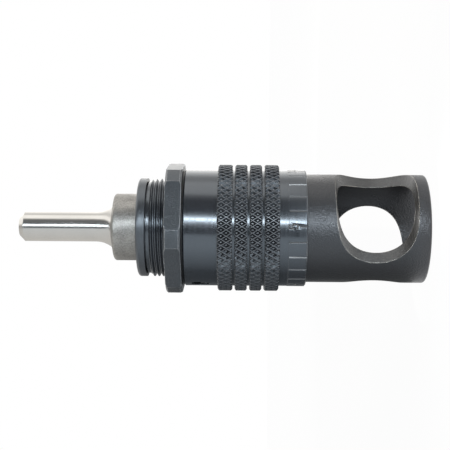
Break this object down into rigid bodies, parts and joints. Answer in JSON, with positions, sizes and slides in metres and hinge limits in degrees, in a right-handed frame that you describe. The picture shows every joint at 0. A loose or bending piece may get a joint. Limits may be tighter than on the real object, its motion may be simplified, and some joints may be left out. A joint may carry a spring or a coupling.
{
  "type": "countersink cage",
  "caption": "Depth-stop cage for a threaded countersink cutter: windowed foot, screw-adjusted knurled ring, hexagonal lock nut and a spring-loaded spindle with a plain drive shank.",
  "frame": {"origin": "centre of the round nose face, on the tool axis", "axes": "+Z along the tool axis from the nose towards the drive shank; the foot's two windows face +Y and -Y"},
  "size_m": [0.028, 0.0282, 0.0863],
  "materials": {
    "blasted_black": "bead-blasted and blackened, matt, with bright worn edges",
    "black_oxide": "turned and blackened, semi-gloss with fine turning lines",
    "spindle_steel": "ground bare steel, satin collar and bright shank",
    "bearing_steel": "ground and polished",
    "spring_steel": "oiled spring wire",
    "cage_brass": "stamped brass",
    "bronze": "bored bronze",
    "felt": "pressed felt, oiled"
  },
  "bodies": {
    "housing": {"housing": "black_oxide", "rear_cap": "black_oxide", "rear_wiper": "felt", "needle_bearing_cup": "bearing_steel", "front_bushing": "bronze", "key_pin": "bearing_steel", "return_spring": "spring_steel"},
    "lock_ring": {"lock_ring": "black_oxide", "detent_ball": "bearing_steel", "detent_spring": "spring_steel"},
    "foot": {"foot": "blasted_black", "foot_retaining_ring": "spring_steel"},
    "lock_washer": {"lock_washer": "black_oxide"},
    "lock_nut": {"lock_nut": "black_oxide"},
    "carrier": {"spring_seat": "spindle_steel", "thrust_race_lower": "bearing_steel"},
    "spindle": {"spindle": "spindle_steel", "thrust_race_upper": "bearing_steel"},
    "ball_cage": {"thrust_cage": "cage_brass", "thrust_balls": "bearing_steel"},
    "needle_cage": {"rear_needles": "bearing_steel", "rear_needle_cage": "cage_brass"}
  },
  "joints": [
    {"name": "adjust_travel", "type": "slide", "parent": "housing", "child": "lock_ring", "axis": [0, 0, 1], "range_m": [-0.0018, 0]},
    {"name": "adjust_turn", "type": "hinge", "parent": "lock_ring", "child": "foot", "pos_m": [0, 0, 0.03], "axis": [0, 0, 1], "range_deg": [-1080, 0]},
    {"name": "nut_travel", "type": "slide", "parent": "housing", "child": "lock_washer", "axis": [0, 0, 1], "range_m": [0, 0.003]},
    {"name": "nut_turn", "type": "hinge", "parent": "lock_washer", "child": "lock_nut", "pos_m": [0, 0, 0.0528], "axis": [0, 0, 1], "range_deg": [0, 1149]},
    {"name": "spindle_stroke", "type": "slide", "parent": "housing", "child": "carrier", "axis": [0, 0, 1], "range_m": [-0.005, 0], "stiffness_N_per_m": 1500, "springref_m": 0.006, "deforming": ["return_spring"]},
    {"name": "spindle_spin", "type": "hinge", "parent": "carrier", "child": "spindle", "pos_m": [0, 0, 0.045], "axis": [0, 0, 1], "continuous": true},
    {"name": "ball_cage_spin", "type": "hinge", "parent": "carrier", "child": "ball_cage", "pos_m": [0, 0, 0.045], "axis": [0, 0, 1], "continuous": true},
    {"name": "needle_cage_spin", "type": "hinge", "parent": "housing", "child": "needle_cage", "pos_m": [0, 0, 0.052], "axis": [0, 0, 1], "continuous": true}
  ],
  "couplings": [
    {"joint": "adjust_turn", "follows": "adjust_travel", "rad_per_m": 10472},
    {"joint": "nut_turn", "follows": "nut_travel", "rad_per_m": 6684.2},
    {"joint": "ball_cage_spin", "follows": "spindle_spin", "ratio": 0.5},
    {"joint": "needle_cage_spin", "follows": "spindle_spin", "ratio": 0.4704}
  ]
}
